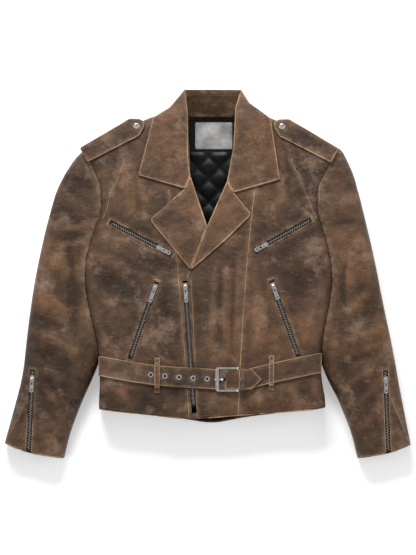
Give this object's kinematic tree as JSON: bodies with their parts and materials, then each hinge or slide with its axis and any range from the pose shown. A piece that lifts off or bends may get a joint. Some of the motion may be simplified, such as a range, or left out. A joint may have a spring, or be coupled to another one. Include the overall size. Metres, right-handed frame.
{
  "type": "leather riding jacket",
  "caption": "Hollow leather riding jacket laid on its back, with lapels folded open, working zip sliders and pulls, buckled belt, snap shoulder straps and swinging sleeves.",
  "frame": {"origin": "under the middle of the jacket's bounding box, on the surface that the back lies on", "axes": "+X towards the wearer's left cuff, +Y towards the collar, +Z out of the front of the jacket"},
  "size_m": [0.7796, 0.708, 0.0914],
  "materials": {
    "leather": "distressed brown waxed leather with rubbed tan edges",
    "lining": "black quilted satin",
    "label": "plain dark satin patch with a stitched border",
    "zip_chain": "darkened metal teeth on brown tape",
    "zip_metal": "worn nickel plate",
    "buckle_metal": "worn nickel plate"
  },
  "bodies": {
    "body": {"right_front_panel": "leather", "right_zip_facing": "leather", "centre_front_panel": "leather", "left_front_panel": "leather", "right_shoulder_panel": "leather", "left_shoulder_panel": "leather", "back_panel": "leather", "front_linings": "lining", "quilted_lining": "lining", "back_neck_facing": "lining", "label_patch": "label", "right_collar_wing": "leather", "left_collar_wing": "leather", "collar_stand": "leather", "back_collar": "leather", "right_lapel": "leather", "left_lapel": "leather", "main_zip_chain": "zip_chain", "right_chest_zip_chain": "zip_chain", "left_chest_zip_chain": "zip_chain", "right_hand_zip_chain": "zip_chain", "left_hand_zip_chain": "zip_chain", "pocket_welts": "leather", "pocket_bags": "lining", "belt_strap": "leather", "belt_eyelets": "buckle_metal", "belt_short_end": "leather", "belt_keeper": "leather", "belt_loops": "leather", "snap_studs": "buckle_metal"},
    "main_zip_slider": {"main_zip_slider": "zip_metal"},
    "main_zip_pull": {"main_zip_pull": "zip_metal"},
    "right_chest_zip_slider": {"right_chest_zip_slider": "zip_metal"},
    "right_chest_zip_pull": {"right_chest_zip_pull": "zip_metal"},
    "left_chest_zip_slider": {"left_chest_zip_slider": "zip_metal"},
    "left_chest_zip_pull": {"left_chest_zip_pull": "zip_metal"},
    "right_hand_zip_slider": {"right_hand_zip_slider": "zip_metal"},
    "right_hand_zip_pull": {"right_hand_zip_pull": "zip_metal"},
    "left_hand_zip_slider": {"left_hand_zip_slider": "zip_metal"},
    "left_hand_zip_pull": {"left_hand_zip_pull": "zip_metal"},
    "right_cuff_zip_slider": {"right_cuff_zip_slider": "zip_metal"},
    "right_cuff_zip_pull": {"right_cuff_zip_pull": "zip_metal"},
    "left_cuff_zip_slider": {"left_cuff_zip_slider": "zip_metal"},
    "left_cuff_zip_pull": {"left_cuff_zip_pull": "zip_metal"},
    "right_sleeve": {"right_sleeve_upper": "leather", "right_sleeve_under": "leather", "right_cuff_gusset": "leather", "right_sleeve_lining": "lining", "right_cuff_zip_chain": "zip_chain"},
    "left_sleeve": {"left_sleeve_upper": "leather", "left_sleeve_under": "leather", "left_cuff_gusset": "leather", "left_sleeve_lining": "lining", "left_cuff_zip_chain": "zip_chain"},
    "right_shoulder_strap": {"right_shoulder_strap": "leather", "right_snap_cap": "buckle_metal"},
    "left_shoulder_strap": {"left_shoulder_strap": "leather", "left_snap_cap": "buckle_metal"},
    "buckle_frame": {"buckle_frame": "buckle_metal"},
    "buckle_prong": {"buckle_prong": "buckle_metal"}
  },
  "joints": [
    {"name": "main_zip_slide", "type": "slide", "parent": "body", "child": "main_zip_slider", "axis": [0.0699, -0.9976, 0], "range_m": [0, 0.118]},
    {"name": "main_zip_pull_turn", "type": "hinge", "parent": "main_zip_slider", "child": "main_zip_pull", "pos_m": [-0.04251, -0.02348, 0.0789], "axis": [-0.9976, -0.0699, 0], "range_deg": [0, 150]},
    {"name": "right_chest_zip_slide", "type": "slide", "parent": "body", "child": "right_chest_zip_slider", "axis": [0.8883, -0.4593, 0], "range_m": [-0.092, 0.008]},
    {"name": "right_chest_zip_pull_turn", "type": "hinge", "parent": "right_chest_zip_slider", "child": "right_chest_zip_pull", "pos_m": [-0.09172, 0.04876, 0.0789], "axis": [-0.4593, -0.8883, 0], "range_deg": [0, 150]},
    {"name": "left_chest_zip_slide", "type": "slide", "parent": "body", "child": "left_chest_zip_slider", "axis": [-0.8764, -0.4816, 0], "range_m": [-0.088, 0.003]},
    {"name": "left_chest_zip_pull_turn", "type": "hinge", "parent": "left_chest_zip_slider", "child": "left_chest_zip_pull", "pos_m": [0.1089, 0.05444, 0.0789], "axis": [-0.4816, 0.8764, 0], "range_deg": [0, 150]},
    {"name": "right_hand_zip_slide", "type": "slide", "parent": "body", "child": "right_hand_zip_slider", "axis": [-0.3288, -0.9444, 0], "range_m": [0, 0.098]},
    {"name": "right_hand_zip_pull_turn", "type": "hinge", "parent": "right_hand_zip_slider", "child": "right_hand_zip_pull", "pos_m": [-0.09996, -0.025, 0.0789], "axis": [-0.9444, 0.3288, 0], "range_deg": [0, 150]},
    {"name": "left_hand_zip_slide", "type": "slide", "parent": "body", "child": "left_hand_zip_slider", "axis": [0.3378, -0.9412, 0], "range_m": [0, 0.098]},
    {"name": "left_hand_zip_pull_turn", "type": "hinge", "parent": "left_hand_zip_slider", "child": "left_hand_zip_pull", "pos_m": [0.12404, -0.02247, 0.0789], "axis": [-0.9412, -0.3378, 0], "range_deg": [0, 150]},
    {"name": "right_cuff_zip_slide", "type": "slide", "parent": "right_sleeve", "child": "right_cuff_zip_slider", "axis": [-0.054, -0.9978, -0.0389], "range_m": [-0.008, 0.125]},
    {"name": "right_cuff_zip_pull_turn", "type": "hinge", "parent": "right_cuff_zip_slider", "child": "right_cuff_zip_pull", "pos_m": [-0.33492, -0.20011, 0.0579], "axis": [-0.9985, 0.054, 0.0021], "range_deg": [0, 150]},
    {"name": "left_cuff_zip_slide", "type": "slide", "parent": "left_sleeve", "child": "left_cuff_zip_slider", "axis": [0.0416, -0.9984, -0.0389], "range_m": [-0.008, 0.125]},
    {"name": "left_cuff_zip_pull_turn", "type": "hinge", "parent": "left_cuff_zip_slider", "child": "left_cuff_zip_pull", "pos_m": [0.33971, -0.20212, 0.05782], "axis": [-0.9991, -0.0416, -0.0016], "range_deg": [0, 150]},
    {"name": "right_sleeve_swing", "type": "hinge", "parent": "body", "child": "right_sleeve", "pos_m": [-0.21697, 0.24818, 0.036], "axis": [0, 0, -1], "range_deg": [0, 16]},
    {"name": "left_sleeve_swing", "type": "hinge", "parent": "body", "child": "left_sleeve", "pos_m": [0.22771, 0.24959, 0.036], "axis": [0, 0, 1], "range_deg": [0, 16]},
    {"name": "right_shoulder_strap_lift", "type": "hinge", "parent": "body", "child": "right_shoulder_strap", "pos_m": [-0.235, 0.225, 0.0762], "axis": [0.4821, -0.8761, 0], "range_deg": [0, 95]},
    {"name": "left_shoulder_strap_lift", "type": "hinge", "parent": "body", "child": "left_shoulder_strap", "pos_m": [0.241, 0.224, 0.0762], "axis": [0.4821, 0.8761, 0], "range_deg": [0, 95]},
    {"name": "buckle_frame_lift", "type": "hinge", "parent": "body", "child": "buckle_frame", "pos_m": [0.057, -0.2005, 0.0818], "axis": [0, 1, 0], "range_deg": [0, 5]},
    {"name": "buckle_prong_lift", "type": "hinge", "parent": "body", "child": "buckle_prong", "pos_m": [0.057, -0.2005, 0.0818], "axis": [0, 1, 0], "range_deg": [0, 5]}
  ],
  "couplings": [
    {"joint": "buckle_prong_lift", "follows": "buckle_frame_lift", "ratio": 1}
  ]
}
